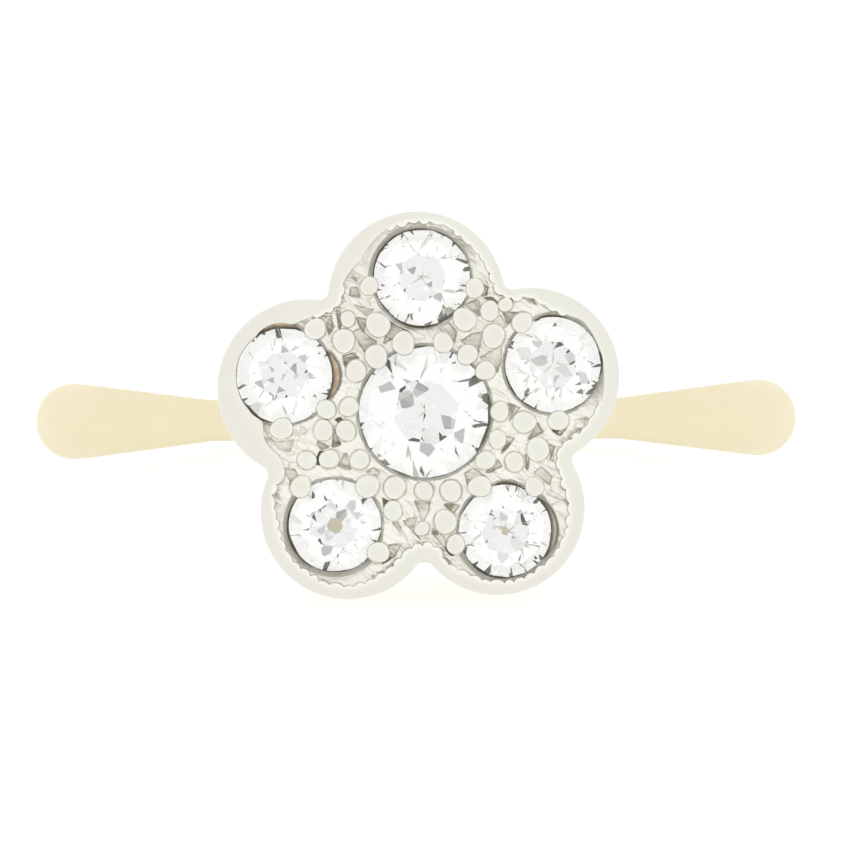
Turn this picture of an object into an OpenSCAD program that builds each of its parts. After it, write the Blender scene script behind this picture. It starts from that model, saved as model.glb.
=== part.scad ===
// Daisy cluster ring: five small diamonds in a scalloped rim round a larger one, on a tapered gold shank.
// It is drawn with the finger axis along Y and the head up Z, then laid on its side as it rests on a table.

/* [Shank] */
// Inside diameter of the finger hole
bore_d = 17.2; // [14:0.1:22]
// Thickness of the shank from the finger to the top of its dome
shank_t = 1.4; // [1:0.05:2]
// Width of the shank at the sides
shank_w = 2.0; // [1.4:0.05:3]
// Width of the shoulders where they meet the head, and of the palm under them
shoulder_w = 1.06; // [0.8:0.02:1.4]
// Angle from the head, on the outside, at which the shank is down to its narrow width
shoulder_angle = 32; // [26:1:40]
// Angle from the head, on the outside, at which the shank has its full width
taper_angle = 63; // [50:1:80]

/* [Stones] */
// Diameter of the centre stone
centre_stone_d = 3.37; // [2.8:0.01:4]
// Diameter of a petal stone
petal_stone_d = 2.43; // [2:0.01:2.8]
// Metal between the centre stone and the petal stones
stone_gap = 0.7; // [0.5:0.05:1]
// Distance of a petal stone outward from the middle of its lobe
stone_out = 0.6; // [0.3:0.05:0.7]
// Width of the table, as a share of the stone's diameter
table_share = 0.52; // [0.44:0.01:0.6]
// Height of the crown, as a share of the stone's diameter
crown_share = 0.15; // [0.12:0.01:0.18]
// Depth of the pavilion, as a share of the stone's diameter
pavilion_share = 0.43; // [0.38:0.01:0.46]
// Width of the culet, as a share of the stone's diameter
culet_share = 0.07; // [0.03:0.01:0.12]
// Depth of the stones' girdles below the sunk field
girdle_drop = 0.12; // [0.08:0.02:0.2]
// Clearance between a stone and the metal that holds it
stone_clear = 0.03; // [0.02:0.01:0.06]

/* [Head] */
// Height of the rim above the finger hole
head_rise = 4.4; // [3.8:0.1:6]
// Metal outside a petal stone, from its edge to the outline
edge_w = 0.44; // [0.36:0.02:0.7]
// Width of the plain rim that stands round the outline
rim_w = 0.4; // [0.3:0.02:0.5]
// Bevel along the top of the rim's outer edge
rim_bevel = 0.1; // [0.04:0.01:0.15]
// Radius of the hollow round in a notch between two lobes
notch_r = 0.24; // [0.2:0.02:0.5]
// Depth of the sunk field below the top of the rim
field_depth = 0.3; // [0.2:0.02:0.36]
// Thickness of the white metal face, with its rim
face_t = 0.62; // [0.56:0.02:0.8]
// Thickness of the gold backing under the face
backing_t = 0.9; // [0.6:0.05:1.2]
// Gap at the solder seam between the white face and the gold backing
seam_gap = 0.02; // [0.01:0.01:0.05]
// Diameter of a common grain
grain_d = 0.54; // [0.44:0.02:0.64]
// Height of the grains' tops above the rim
grain_rise = 0.04; // [0:0.02:0.1]
// Distance that the petal seats are drilled off their stones
seat_slip = 0.06; // [0:0.01:0.08]
// Sideways place of the head on the shank
head_shift_x = 0.09; // [-0.2:0.01:0.2]
// Place of the head along the finger
head_shift_y = 0.08; // [-0.2:0.01:0.2]

/* [Gallery] */
// Thickness of the gallery's wall
gallery_t = 0.45; // [0.35:0.05:0.6]
// Step inward from the outline to the top of the gallery
gallery_step = 0.8; // [0.7:0.05:1.2]
// Distance of the gallery's lobes from the middle
gallery_reach = 2.05; // [1.8:0.05:2.3]
// Radius of a gallery lobe at the finger
foot_r = 1.3; // [1.2:0.05:1.6]

/* [Hidden] */
$fn = 64;

gold = "#f0e3b4";
white_metal = "#e6e6dd";
diamond = "#f4f6f8";

// Each lobe and its stone, from the top of the flower leftward round it. Reach and size are shares of
// lobe_ring_r and lobe_r, step-out is a share of stone_out, and stone size is a share of petal_stone_d.
// Columns: lobe angle, reach, size, stone's turn round the head, step-out, stone size, seat's slip
// direction, facet turn
LOBES = [
    [91.0, 0.99, 1.007, -2.4, 0.97, 1.016, 20, 8],
    [165.9, 0.988, 1.015, -2.9, 1.08, 1.008, 40, 31],
    [232.8, 1.018, 0.99, -0.8, 0.8, 0.975, 215, 14],
    [310.2, 1.025, 0.989, -3.8, 0.975, 0.975, 350, 3],
    [19.4, 1.011, 1.003, 1.3, 1.055, 1.008, 300, 22],
];
// The centre stone is set a little off the middle, as shares of stone_gap along X and Y
centre_off = [0.2, 0.157];
centre_facet_turn = 12;

// Grains round a stone: clock angle, stand-off from the stone and size, both as shares of grain_d
CENTRE_GRAINS = [
    [107, 0.29, 1.13], [131, 0.36, 1.13], [149, 0.67, 1.04], [176, 0.48, 0.94], [193, 0.72, 0.99],
    [216, 0.70, 0.94], [248, 0.74, 1.08], [269, 0.61, 0.90], [288, 0.82, 1.04], [321, 0.55, 0.94],
    [339, 0.56, 0.90], [0, 0.43, 0.94], [34, 0.35, 0.94], [53, 0.25, 0.99], [75, 0.27, 0.99],
];
PETAL_GRAINS = [
    [[189, 0.25, 0.90], [227, 0.77, 1.18], [315, 0.55, 1.13], [348, 0.27, 0.94]],
    [[56, 0.39, 1.04], [30, 1.01, 1.13], [321, 0.28, 0.94], [267, 0.24, 1.08]],
    [[131, 0.25, 1.04], [50, 0.22, 1.13], [14, 0.63, 0.94], [328, 0.22, 1.04]],
    [[119, 0.22, 1.08], [56, 0.31, 0.94], [171, 0.65, 1.13], [195, 0.22, 0.94]],
    [[126, 0.22, 0.99], [154, 0.87, 1.13], [243, 0.77, 1.08], [275, 0.39, 0.99]],
];
// Grains in the field between the stones: angle round the head, reach as a share of lobe_ring_r, size
FIELD_GRAINS = [
    [126, 1.03, 0.76], [56, 1.08, 0.94], [52, 1.20, 0.70], [334, 0.90, 0.94], [344, 1.05, 1.13],
    [271, 0.96, 0.70], [188, 0.83, 0.99], [205, 0.85, 0.94], [201, 1.03, 0.90],
];

bore_r = bore_d / 2;
shank_r = bore_r + shank_t;
lobe_count = len(LOBES);
lobe_ring_r = centre_stone_d / 2 + stone_gap + petal_stone_d / 2 - stone_out;
lobe_r = petal_stone_d / 2 + stone_out + edge_w;

// Heights in the head, from the finger axis up
face_z = bore_r + head_rise;
field_z = face_z - field_depth;
girdle_z = field_z - girdle_drop;
seam_z = face_z - face_t;
backing_top_z = seam_z - seam_gap;
backing_z = backing_top_z - backing_t;

// The cuts run this far past the faces that they open
over = 0.5;
// The hollow round of a notch bites this far into the lobes, so that the walls cross
notch_bite = 0.02;

function polar(reach, angle) = [reach * cos(angle), reach * sin(angle)];

head_mid = [head_shift_x, head_shift_y];
function lobe_at(i) = head_mid + polar(LOBES[i][1] * lobe_ring_r, LOBES[i][0]);
function lobe_size(i) = LOBES[i][2] * lobe_r;
function petal_at(i) =
    head_mid + polar(LOBES[i][1] * lobe_ring_r + LOBES[i][4] * stone_out, LOBES[i][0] + LOBES[i][3]);
function petal_d(i) = LOBES[i][5] * petal_stone_d;
centre_at = head_mid + stone_gap * centre_off;

// Laid on its side, the ring rests on its two lowest lobes and on the edge of the shank at the palm. A
// narrow palm touches at its corner and a wide one at the side of its dome.
head_low = min([for (i = [0:lobe_count - 1]) lobe_at(i)[1] - lobe_size(i)]);
dome_r = shank_w / 2;
dome_mid = shank_r - dome_r;
palm_side = shoulder_w / 2;
corner_lean =
    atan2(-head_low - palm_side, backing_z + dome_mid + sqrt(dome_r * dome_r - palm_side * palm_side));
dome_lean =
    acos(dome_r / norm([head_low, backing_z + dome_mid])) - atan2(backing_z + dome_mid, -head_low);
lean = palm_side < dome_r * cos(corner_lean) ? corner_lean : dome_lean;

module laid_down() {
    rotate([90 - lean, 0, 0]) children();
}

// Shank and gallery

// The ends of the hoop are buried in the walls of the gallery
hoop_end_angle = asin((gallery_reach + foot_r - gallery_t) / (bore_r + shank_t / 2));
// The dome's round stands this far past the shank's upright sides, so that the two cross
dome_proud = 0.015;

// Section of the shank, with the finger axis on its left: a round dome on upright sides
module hoop_section() {
    intersection() {
        union() {
            translate([dome_mid, 0]) circle(dome_r);
            translate([bore_r - over, dome_proud - dome_r])
                square([dome_mid - bore_r + over, 2 * (dome_r - dome_proud)]);
        }
        translate([bore_r - over, -shank_w]) square([shank_t + 2 * over, 2 * shank_w]);
    }
}

// What the tapers take off one quarter of the shank. Seen from the head its sides are straight lines, and
// the palm lies right under the shoulders.
module taper_cut() {
    low_x = shank_r * sin(shoulder_angle);
    high_x = shank_r * sin(taper_angle);
    linear_extrude(3 * shank_r, center = true)
        polygon([
            [-over, shoulder_w / 2],
            [low_x, shoulder_w / 2],
            [high_x, shank_w / 2],
            [high_x, shank_w],
            [-over, shank_w],
        ]);
}

module hoop() {
    difference() {
        rotate([90, 0, 0])
            rotate([0, 0, 90 + hoop_end_angle])
            rotate_extrude(angle = 360 - 2 * hoop_end_angle)
            hoop_section();
        for (side = [0, 1], edge = [0, 1]) mirror([side, 0, 0]) mirror([0, edge, 0]) taper_cut();
    }
}

module finger_hole() {
    rotate([90, 0, 0]) cylinder(h = 6 * lobe_r, r = bore_r, center = true);
}

// One lobe of the gallery, flaring from the finger's surface to the backing, between two heights
module gallery_lobe(i, inset, low_z, high_z) {
    widen = (lobe_ring_r + lobe_r - gallery_step - gallery_reach - foot_r) / (backing_z - bore_r);
    foot = LOBES[i][2] * foot_r - inset;
    translate([each head_mid + polar(LOBES[i][1] * gallery_reach, LOBES[i][0]), low_z])
        cylinder(
            h = high_z - low_z,
            r1 = foot + (low_z - bore_r) * widen,
            r2 = foot + (high_z - bore_r) * widen
        );
}

// The scalloped cup under the head, open to the finger and let a little into the backing
module gallery() {
    low_z = bore_r - shank_t;
    high_z = backing_z + backing_t / 3;
    difference() {
        union() for (i = [0:lobe_count - 1]) gallery_lobe(i, 0, low_z, high_z);
        for (i = [0:lobe_count - 1]) gallery_lobe(i, gallery_t, low_z - over, high_z + over);
        translate([each head_mid, low_z - over])
            cylinder(h = high_z - low_z + 2 * over, r = gallery_reach - gallery_t / 2);
    }
}

module shank() {
    color(gold)
        laid_down()
        difference() {
            union() {
                hoop();
                gallery();
                translate([0, 0, backing_z]) linear_extrude(backing_t) outline();
            }
            seats();
            finger_hole();
        }
}

// Outline of the head

// Centre of the hollow round that fits between lobe i and the next
function notch_at(i) =
    let (
        j = (i + 1) % lobe_count,
        a = lobe_at(i),
        b = lobe_at(j),
        ra = lobe_size(i) + notch_r - notch_bite,
        rb = lobe_size(j) + notch_r - notch_bite,
        d = norm(b - a),
        u = (b - a) / d,
        along = (d * d + ra * ra - rb * rb) / (2 * d),
        aside = sqrt(ra * ra - along * along)
    )
    a + along * u + aside * [u[1], -u[0]];

module outline() {
    union() {
        for (i = [0:lobe_count - 1]) translate(lobe_at(i)) circle(lobe_size(i));
        difference() {
            polygon([for (i = [0:lobe_count - 1]) each [lobe_at(i), notch_at(i)]]);
            for (i = [0:lobe_count - 1]) translate(notch_at(i)) circle(notch_r);
        }
    }
}

// White face

// Metal outside the bevel of the rim: a cone on each lobe, upside down round each notch
module rim_blank() {
    bevel_z = face_z - rim_bevel;
    union() {
        translate([0, 0, seam_z]) linear_extrude(bevel_z - seam_z) outline();
        for (i = [0:lobe_count - 1])
            translate([each lobe_at(i), bevel_z])
                cylinder(h = rim_bevel, r1 = lobe_size(i), r2 = lobe_size(i) - rim_bevel);
        difference() {
            translate([0, 0, bevel_z])
                linear_extrude(rim_bevel)
                polygon([for (i = [0:lobe_count - 1]) each [lobe_at(i), notch_at(i)]]);
            for (i = [0:lobe_count - 1])
                translate([each notch_at(i), bevel_z])
                    cylinder(h = 2 * rim_bevel, r1 = notch_r, r2 = notch_r + 2 * rim_bevel);
        }
    }
}

// The sunk field follows the rim, with a round pocket reaching into each notch
module field() {
    translate([0, 0, field_z])
        linear_extrude(field_depth + over)
        union() {
            translate(head_mid) circle(lobe_ring_r);
            for (i = [0:lobe_count - 1]) {
                translate(lobe_at(i)) circle(lobe_size(i) - rim_w);
                pocket = notch_at(i) - head_mid;
                translate(head_mid + pocket * (1 - (notch_r + 2 * rim_w) / norm(pocket))) circle(rim_w);
            }
        }
}

// A grain: a round pillar with a domed head
module grain(at, size) {
    d = size * grain_d;
    top_z = face_z + grain_rise;
    translate([each at, top_z - d / 2]) sphere(d = d);
    translate([each at, field_z - field_depth / 2])
        cylinder(h = top_z - d / 2 - field_z + field_depth / 2, d = d);
}

module stone_grains(rows, at, d) {
    for (row = rows)
        grain(at + polar(d / 2 + row[1] * grain_d, row[0]), row[2]);
}

module grains() {
    stone_grains(CENTRE_GRAINS, centre_at, centre_stone_d);
    for (i = [0:lobe_count - 1]) stone_grains(PETAL_GRAINS[i], petal_at(i), petal_d(i));
    for (row = FIELD_GRAINS) grain(head_mid + polar(row[1] * lobe_ring_r, row[0]), row[2]);
}

module head() {
    color(white_metal)
        laid_down()
        union() {
            difference() {
                rim_blank();
                field();
                seats();
            }
            difference() {
                grains();
                stone_spaces();
            }
        }
}

// Stones and their seats

// Shares of the radius: star points, lower girdle tips and half the girdle's height
star_share = 0.77;
tip_share = 0.4;
girdle_share = 0.02;

// Heights in a stone of radius r, from the middle of its girdle
function crown_slope(r) = (2 * crown_share - girdle_share) / (1 - table_share);
function crown_z(r, reach) = r * girdle_share + (r - reach) * crown_slope(r);
function pavilion_slope(r) = (2 * pavilion_share - girdle_share) / (1 - culet_share * cos(22.5));
function pavilion_z(r, reach) = -r * girdle_share - (r - reach) * pavilion_slope(r);
// Slope of the pavilion's outermost edges, from the girdle to the lower girdle tips
function edge_slope(r) =
    (-r * girdle_share - pavilion_z(r, r * tip_share * cos(22.5))) / (r * (1 - tip_share));

function stone_ring(r, count, shift, z) = [
    for (k = [0:count - 1]) [each polar(r, 360 / count * k + shift), z]
];

module cut_stone(d) {
    r = d / 2;
    half = 22.5;
    points = concat(
        stone_ring(r * table_share, 8, 0, crown_z(r, r * table_share)),
        stone_ring(r * star_share, 8, half, crown_z(r, r * star_share * cos(half))),
        stone_ring(r, 16, 0, r * girdle_share),
        stone_ring(r, 16, 0, -r * girdle_share),
        stone_ring(r * tip_share, 8, half, pavilion_z(r, r * tip_share * cos(half))),
        stone_ring(r * culet_share, 8, half, pavilion_z(r, r * culet_share * cos(half)))
    );
    table = 0;
    star = 8;
    upper = 16;
    lower = 32;
    tip = 48;
    culet = 56;
    faces = concat(
        [[for (k = [0:7]) table + k]],
        [for (k = [0:7]) [table + k, star + k, table + (k + 1) % 8]],
        [for (k = [0:7]) [table + k, star + (k + 7) % 8, upper + 2 * k, star + k]],
        [for (k = [0:15]) [star + floor(k / 2), upper + k, upper + (k + 1) % 16]],
        [for (k = [0:15]) [lower + k, lower + (k + 1) % 16, upper + (k + 1) % 16, upper + k]],
        [for (k = [0:15]) [tip + floor(k / 2), lower + (k + 1) % 16, lower + k]],
        [for (k = [0:7]) [lower + 2 * k, tip + (k + 7) % 8, culet + (k + 7) % 8, culet + k, tip + k]],
        [[for (k = [7:-1:0]) culet + k]]
    );
    polyhedron(points = points, faces = [for (f = faces) [for (k = [len(f) - 1:-1:0]) f[k]]], convexity = 2);
}

module set_stone(at, d, turn) {
    color(diamond)
        laid_down()
        translate([each at, girdle_z])
        rotate([0, 0, turn])
        cut_stone(d);
}

module centre_stone() {
    set_stone(centre_at, centre_stone_d, centre_facet_turn);
}

module petal_stone(i) {
    set_stone(petal_at(i), petal_d(i), LOBES[i][7]);
}

// The space round one stone that the grains keep clear of
module stone_space(at, d) {
    r = d / 2;
    c = stone_clear;
    half = 22.5;
    translate([each at, girdle_z])
        rotate_extrude()
        polygon([
            [0, -r],
            [r * tip_share, -r],
            [r + c, -r * girdle_share - c],
            [r + c, r * girdle_share + c],
            [r * star_share + c, crown_z(r, r * star_share * cos(half)) + c],
            [r * table_share + c, crown_z(r, r * table_share) + c],
            [r * table_share + c, crown_z(r, r * table_share) + over],
            [0, crown_z(r, r * table_share) + over],
        ]);
}

module stone_spaces() {
    stone_space(centre_at, centre_stone_d);
    for (i = [0:lobe_count - 1]) stone_space(petal_at(i), petal_d(i));
}

// One seat: a light hole, a cone under the stone's pavilion, and a flared opening that may be off centre
hole_share = 0.5;
seat_flare = 0.12;
seat_play = 0.06;
// The cuts run this far below the girdle and below the backing, short of the gallery's outside
seat_over = 0.1;

module seat(at, d, slip) {
    r = d / 2;
    play = stone_clear * 2;
    hole_r = r * hole_share + play;
    cone_h = r * (1 - hole_share) * edge_slope(r);
    lip_r = r + stone_clear + seat_play;
    translate([each at, backing_z - seat_over]) cylinder(h = girdle_z - backing_z, r = hole_r);
    translate([each at, girdle_z - r * girdle_share - cone_h])
        cylinder(h = cone_h, r1 = hole_r, r2 = r + play);
    translate([each at + slip, girdle_z - seat_over])
        cylinder(h = face_z - girdle_z + seat_over + over, r1 = lip_r, r2 = lip_r + seat_flare * 2);
}

module seats() {
    seat(centre_at, centre_stone_d, [0, 0]);
    for (i = [0:lobe_count - 1]) seat(petal_at(i), petal_d(i), polar(seat_slip, LOBES[i][6]));
}

shank();
head();
centre_stone();
petal_stone(0);  // petal_stone_top
petal_stone(1);  // petal_stone_left
petal_stone(2);  // petal_stone_lower_left
petal_stone(3);  // petal_stone_lower_right
petal_stone(4);  // petal_stone_right
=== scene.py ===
import math

import bmesh
import bpy
import numpy as np
from mathutils import Matrix, Vector
from mathutils.geometry import tessellate_polygon
from mathutils.kdtree import KDTree


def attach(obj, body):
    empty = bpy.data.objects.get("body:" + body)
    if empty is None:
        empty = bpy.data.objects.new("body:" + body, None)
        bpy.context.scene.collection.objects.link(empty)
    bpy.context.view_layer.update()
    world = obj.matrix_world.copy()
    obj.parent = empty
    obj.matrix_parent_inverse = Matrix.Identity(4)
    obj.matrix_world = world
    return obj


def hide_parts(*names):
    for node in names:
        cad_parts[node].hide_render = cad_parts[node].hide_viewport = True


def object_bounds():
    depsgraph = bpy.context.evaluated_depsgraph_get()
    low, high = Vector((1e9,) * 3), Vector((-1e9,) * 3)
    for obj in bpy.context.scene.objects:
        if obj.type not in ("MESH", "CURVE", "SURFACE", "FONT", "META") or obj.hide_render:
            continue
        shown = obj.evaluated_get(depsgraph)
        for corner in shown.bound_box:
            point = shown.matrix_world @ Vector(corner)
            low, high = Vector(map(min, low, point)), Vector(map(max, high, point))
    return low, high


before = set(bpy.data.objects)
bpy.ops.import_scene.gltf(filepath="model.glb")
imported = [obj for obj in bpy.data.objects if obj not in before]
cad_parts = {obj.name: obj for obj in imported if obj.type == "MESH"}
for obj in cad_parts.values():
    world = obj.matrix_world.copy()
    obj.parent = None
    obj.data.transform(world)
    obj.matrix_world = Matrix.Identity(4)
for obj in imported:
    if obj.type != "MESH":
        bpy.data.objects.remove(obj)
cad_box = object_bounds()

# Seeds of the random draws
MILGRAIN_SEED = 11
STONE_SEED = 40
SKIRT_SEED = 5
GRAIN_SEED = 23

# Sizes in millimetres, as in the solids. X is to the right of the flower, Y up it along the finger and Z out
# of it. Clock angles are in degrees, anticlockwise from the right.
BORE_R = 8.6
SHANK_R = 10.0
DOME_R = 1.0
SHOULDER_W = 1.06
# Angles from the head between which the shank widens
SHOULDER_ANGLE = math.radians(32)
TAPER_ANGLE = math.radians(63)
CENTRE_D = 3.37
PETAL_D = 2.43
STONE_GAP = 0.7
STONE_OUT = 0.6
EDGE_W = 0.44
NOTCH_R = 0.24
GRAIN_D = 0.54
HEAD_MID = np.array([0.09, 0.08])
CENTRE_OFF = (0.2, 0.157)
GALLERY_T = 0.45
GALLERY_STEP = 0.8
GALLERY_REACH = 2.05
FOOT_R = 1.3

LOBE_RING_R = CENTRE_D / 2 + STONE_GAP + PETAL_D / 2 - STONE_OUT
LOBE_R = PETAL_D / 2 + STONE_OUT + EDGE_W
FACE_Z = 13.0
GIRDLE_Z = 12.58
SEAM_Z = 12.38
BACKING_TOP_Z = 12.36
BACKING_Z = 11.46

# Each lobe and its stone, from the top of the flower leftward round it. Columns: lobe angle, reach, size,
# stone's turn round the head, step-out, stone size, facet turn, culet share
LOBES = (
    (91.0, 0.99, 1.007, -2.4, 0.97, 1.016, 8, 0.03),
    (165.9, 0.988, 1.015, -2.9, 1.08, 1.008, 31, 0.03),
    (232.8, 1.018, 0.99, -0.8, 0.8, 0.975, 14, 0.16),
    (310.2, 1.025, 0.989, -3.8, 0.975, 0.975, 3, 0.1),
    (19.4, 1.011, 1.003, 1.3, 1.055, 1.008, 22, 0.03),
)

# Grains round a stone: clock angle, stand-off from the stone and size, both as shares of GRAIN_D
CENTRE_GRAINS = (
    (107, 0.29, 1.13), (131, 0.36, 1.13), (149, 0.67, 1.04), (176, 0.48, 0.94), (193, 0.72, 0.99),
    (216, 0.70, 0.94), (248, 0.74, 1.08), (269, 0.61, 0.90), (288, 0.82, 1.04), (321, 0.55, 0.94),
    (339, 0.56, 0.90), (0, 0.43, 0.94), (34, 0.35, 0.94), (53, 0.25, 0.99), (75, 0.27, 0.99),
)
PETAL_GRAINS = (
    ((189, 0.25, 0.90), (227, 0.77, 1.18), (315, 0.55, 1.13), (348, 0.27, 0.94)),
    ((56, 0.39, 1.04), (30, 1.01, 1.13), (321, 0.28, 0.94), (267, 0.24, 1.08)),
    ((131, 0.25, 1.04), (50, 0.22, 1.13), (14, 0.63, 0.94), (328, 0.22, 1.04)),
    ((119, 0.22, 1.08), (56, 0.31, 0.94), (171, 0.65, 1.13), (195, 0.22, 0.94)),
    ((126, 0.22, 0.99), (154, 0.87, 1.13), (243, 0.77, 1.08), (275, 0.39, 0.99)),
)
# Grains between the stones: angle round the head, reach as a share of LOBE_RING_R, size
FIELD_GRAINS = (
    (126, 1.03, 0.76), (56, 1.08, 0.94), (52, 1.20, 0.70), (334, 0.90, 0.94), (344, 1.05, 1.13),
    (271, 0.96, 0.70), (188, 0.83, 0.99), (205, 0.85, 0.94), (201, 1.03, 0.90),
)


def polar(reach, degrees):
    a = np.radians(degrees)
    return np.stack([reach * np.cos(a), reach * np.sin(a)], axis=-1)


def clock_of(away):
    """Clock angle of an offset."""
    return np.degrees(np.arctan2(away[..., 1], away[..., 0]))


def turn_from(start, degrees):
    """Turn from one clock angle to another, between -180 and 180 degrees."""
    return (degrees - start + 180) % 360 - 180


LOBE_AT = np.array([HEAD_MID + polar(row[1] * LOBE_RING_R, row[0]) for row in LOBES])
LOBE_SIZE = np.array([row[2] * LOBE_R for row in LOBES])
LOBE_COUNT = len(LOBES)

# Stones: the centre one first, then the petals in the order of LOBES
STONE_AT = np.array(
    [HEAD_MID + STONE_GAP * np.array(CENTRE_OFF)]
    + [HEAD_MID + polar(row[1] * LOBE_RING_R + row[4] * STONE_OUT, row[0] + row[3]) for row in LOBES]
)
STONE_R = np.array([CENTRE_D / 2] + [row[5] * PETAL_D / 2 for row in LOBES])
STONES = list(zip(STONE_AT, STONE_R))

# Laid on its side, the ring rests on its two lowest lobes and on the edge of the shank at the palm
head_low = min(LOBE_AT[:, 1] - LOBE_SIZE)
palm_side = SHOULDER_W / 2
rest_span = BACKING_Z + SHANK_R - DOME_R + math.sqrt(DOME_R**2 - palm_side**2)
LEAN = math.atan2(-head_low - palm_side, rest_span)
LEAN_SIN = math.sin(LEAN)
LEAN_COS = math.cos(LEAN)
# In the frame, the way that the flower faces and the way to its top
FACE_WAY = Vector((0, -LEAN_COS, LEAN_SIN))
HEAD_UP = Vector((0, LEAN_SIN, LEAN_COS))
# A millimetre in the frame's metres
MM = 0.001


def laid_down(points):
    """Points of the upright ring in millimetres to the frame in metres."""
    p = np.asarray(points, float)
    x, y, z = p[..., 0], p[..., 1], p[..., 2]
    return MM * np.stack([x, LEAN_SIN * y - LEAN_COS * z, LEAN_COS * y + LEAN_SIN * z], axis=-1)


def smooth_step(x, low, high):
    t = np.clip((x - low) / (high - low), 0, 1)
    return t * t * (3 - 2 * t)


class Shell:
    """Points and faces of one piece, with values at the points."""

    def __init__(self):
        self.points = []
        self.faces = []
        self.values = []
        self.count = 0

    def add(self, points, faces, **values):
        points = np.asarray(points, float).reshape(-1, 3)
        if isinstance(faces, np.ndarray):
            self.faces.extend((faces + self.count).tolist())
        else:
            self.faces.extend([i + self.count for i in f] for f in faces)
        self.points.append(points)
        self.values.append((len(points), values))
        self.count += len(points)

    def grid(self, rows, around=False, along=False, flip=False, **values):
        """Joins rows of points by quads, closed round each row or along the rows if asked."""
        m, n = rows.shape[:2]
        i = np.arange(m if along else m - 1)[:, None]
        j = np.arange(n if around else n - 1)[None, :]
        i2, j2 = (i + 1) % m, (j + 1) % n
        quads = np.stack([i * n + j, i * n + j2, i2 * n + j2, i2 * n + j], axis=-1).reshape(-1, 4)
        if flip:
            quads = quads[:, ::-1]
        self.add(rows, quads, **{k: np.asarray(v).reshape(-1) for k, v in values.items()})

    def value(self, name):
        """The values under one name at all points, 0 where none were given."""
        return np.concatenate([np.full(n, 0.0) + values.get(name, 0.0) for n, values in self.values])


def make_piece(name, shell, material, replaces=(), values=(), sharp=None):
    mesh = bpy.data.meshes.new(name)
    mesh.from_pydata(laid_down(np.concatenate(shell.points)).tolist(), [], shell.faces)
    for key in values:
        layer = mesh.attributes.new(key, "FLOAT", "POINT")
        layer.data.foreach_set("value", shell.value(key).astype(np.float32))
    mesh.validate()
    mesh.polygons.foreach_set("use_smooth", np.ones(len(mesh.polygons), bool))
    if sharp is not None:
        mesh.set_sharp_from_angle(angle=math.radians(sharp))
    mesh.materials.append(material)
    piece = bpy.data.objects.new(name, mesh)
    bpy.context.scene.collection.objects.link(piece)
    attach(piece, "root")
    if replaces:
        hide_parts(*replaces)


# Outline of the head

# The inner offsets of a notch are longer than its own arc, so it has the points of an arc this much wider
NOTCH_WIDER = 0.4


def notch_at(i):
    """Centre of the hollow round that touches lobe i and the next."""
    j = (i + 1) % LOBE_COUNT
    a, b = LOBE_AT[i], LOBE_AT[j]
    ra, rb = LOBE_SIZE[i] + NOTCH_R, LOBE_SIZE[j] + NOTCH_R
    d = np.linalg.norm(b - a)
    u = (b - a) / d
    along = (d * d + ra * ra - rb * rb) / (2 * d)
    return a + along * u + math.sqrt(ra * ra - along * along) * np.array([u[1], -u[0]])


NOTCH_AT = np.array([notch_at(i) for i in range(LOBE_COUNT)])


def outline_arcs():
    """Arcs round the outline: centre, radius, first angle, last angle and side (1 lobe, -1 notch)."""
    arcs = []
    for i in range(LOBE_COUNT):
        lobe = (LOBE_AT[i], LOBE_SIZE[i], NOTCH_AT[i - 1], NOTCH_AT[i], 1)
        notch = (NOTCH_AT[i], NOTCH_R, LOBE_AT[i], LOBE_AT[(i + 1) % LOBE_COUNT], -1)
        for centre, radius, start, end, side in (lobe, notch):
            first, last = (math.atan2(p[1] - centre[1], p[0] - centre[0]) for p in (start, end))
            last += side * 2 * math.pi * (side * last < side * first)
            arcs.append((centre, radius, first, last, side))
    return arcs


def outline_path(pitch):
    """Points of the outline, the unit normals out of it, and the lobe that each is on or comes after."""
    points, normals, lobes = [], [], []
    for k, (centre, radius, first, last, side) in enumerate(outline_arcs()):
        length = abs(last - first) * (radius if side > 0 else radius + NOTCH_WIDER)
        n = max(6, int(round(length / pitch)))
        a = first + (last - first) * np.arange(n) / n
        out = np.stack([np.cos(a), np.sin(a)], axis=-1)
        points.append(centre + radius * out)
        normals.append(side * out)
        lobes.append(np.full(n, k // 2))
    return np.concatenate(points), np.concatenate(normals), np.concatenate(lobes)


def inset_of(x, y):
    """Distance inward from the outline, true only near it."""
    p = np.stack([x, y], axis=-1)
    inset = np.max([size - np.linalg.norm(p - at, axis=-1) for at, size in zip(LOBE_AT, LOBE_SIZE)], axis=0)
    for i in range(LOBE_COUNT):
        j = (i + 1) % LOBE_COUNT
        a, b = LOBE_AT[i] - NOTCH_AT[i], LOBE_AT[j] - NOTCH_AT[i]
        q = p - NOTCH_AT[i]
        side_a = a[0] * q[..., 1] - a[1] * q[..., 0]
        side_b = b[0] * q[..., 1] - b[1] * q[..., 0]
        reach = np.linalg.norm(q, axis=-1)
        in_notch = (side_a < 0) & (side_b > 0) & (reach < LOBE_R)
        inset = np.where(in_notch, reach - NOTCH_R, inset)
    return inset


# Materials

# The first and second colour of each clouded or patchy surface
GOLD_COLOURS = ((0.8, 0.725, 0.51), (0.82, 0.74, 0.53))
WORN_COLOURS = ((0.8, 0.778, 0.72), (0.806, 0.802, 0.722))
# Lighter copy of the worn colours for the carved field: painted light that lifts the shade of its hollows
CUT_LIT_COLOURS = ((0.84, 0.83, 0.765), (0.9, 0.89, 0.825))
# Gold seen in the gaps beside the stones, darkened to brown: painted shade on real gold
SHADED_GOLD_COLOURS = ((0.5, 0.28, 0.14), (0.82, 0.58, 0.37))
DIAMOND_COLOURS = ((1.0, 1.0, 0.99), (0.98, 0.98, 0.965))
# Painted highlight on the rim's inner edge and on the grains' faces
HIGHLIGHT_COLOUR = (0.95, 0.95, 0.89)
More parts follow.
